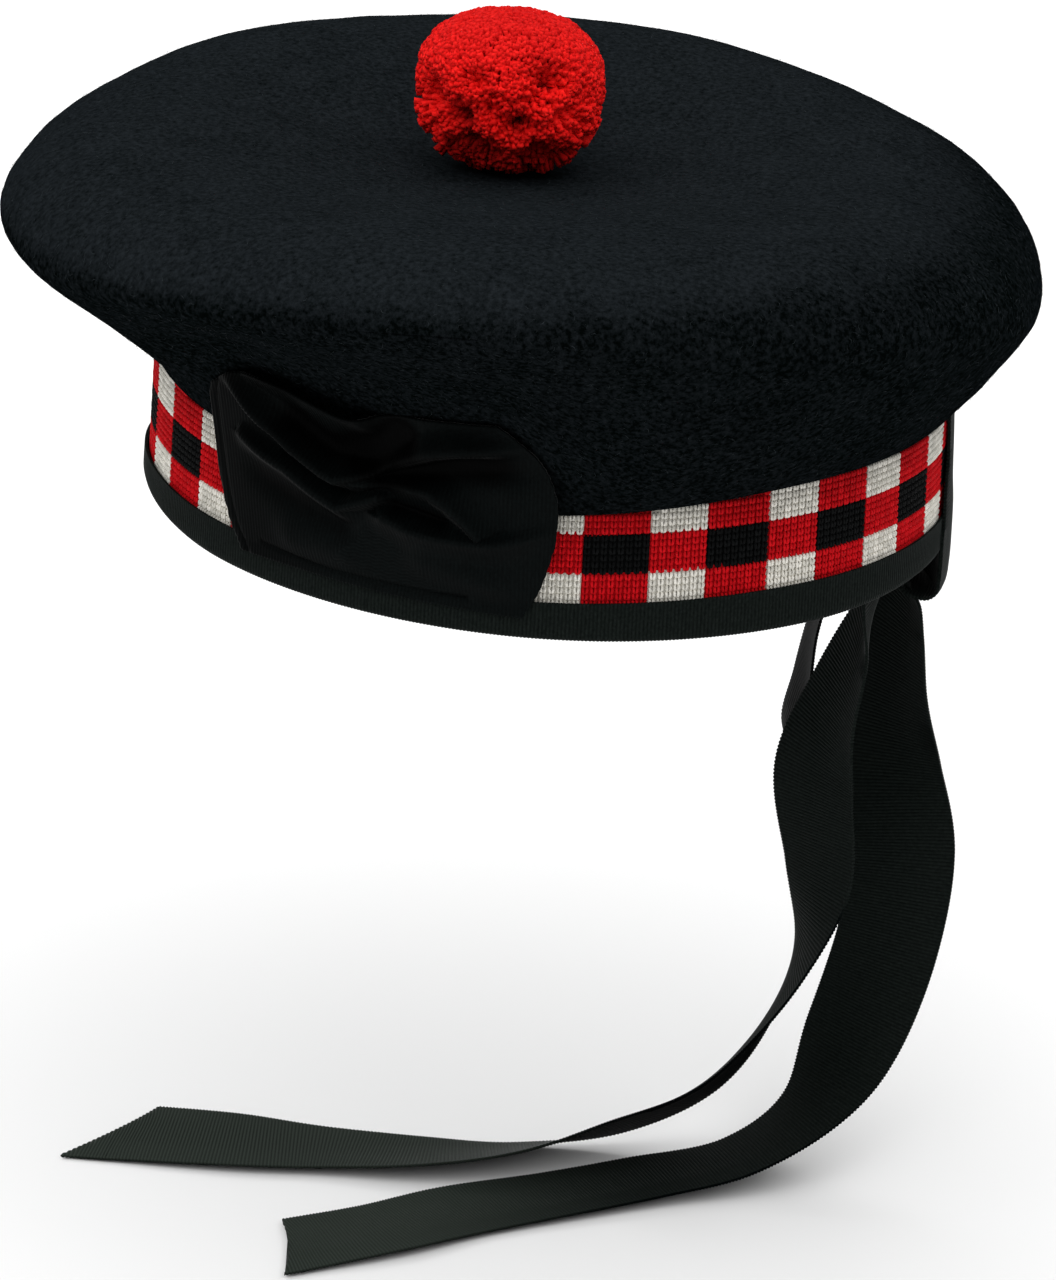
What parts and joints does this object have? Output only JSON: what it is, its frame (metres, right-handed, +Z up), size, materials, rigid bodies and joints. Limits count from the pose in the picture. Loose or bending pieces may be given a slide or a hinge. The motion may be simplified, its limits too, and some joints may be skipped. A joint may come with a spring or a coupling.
{
  "type": "balmoral bonnet",
  "caption": "Soft felt bonnet with a wide flat crown, a diced knitted band with ribbon binding, a gathered ribbon cockade, a yarn pompom on top and ribbon tails at the back.",
  "frame": {"origin": "middle of the head opening, level with the mean height of the rim", "axes": "+Z up through the crown, +Y to the wearer's back, +X to the wearer's left"},
  "size_m": [0.2725, 0.2461, 0.2883],
  "materials": {
    "felt": "dark blue-black milled wool felt",
    "knit": "knitted wool in red, white and black dice",
    "ribbon": "black grosgrain ribbon with cross ribs",
    "yarn": "red cut wool yarn"
  },
  "bodies": {
    "root": {"crown": "felt", "diced_band": "knit", "binding": "ribbon", "cockade": "ribbon", "bow_keeper": "ribbon", "bow_loop": "ribbon", "tail_left": "ribbon", "tail_right": "ribbon", "toorie": "yarn"}
  },
  "joints": []
}
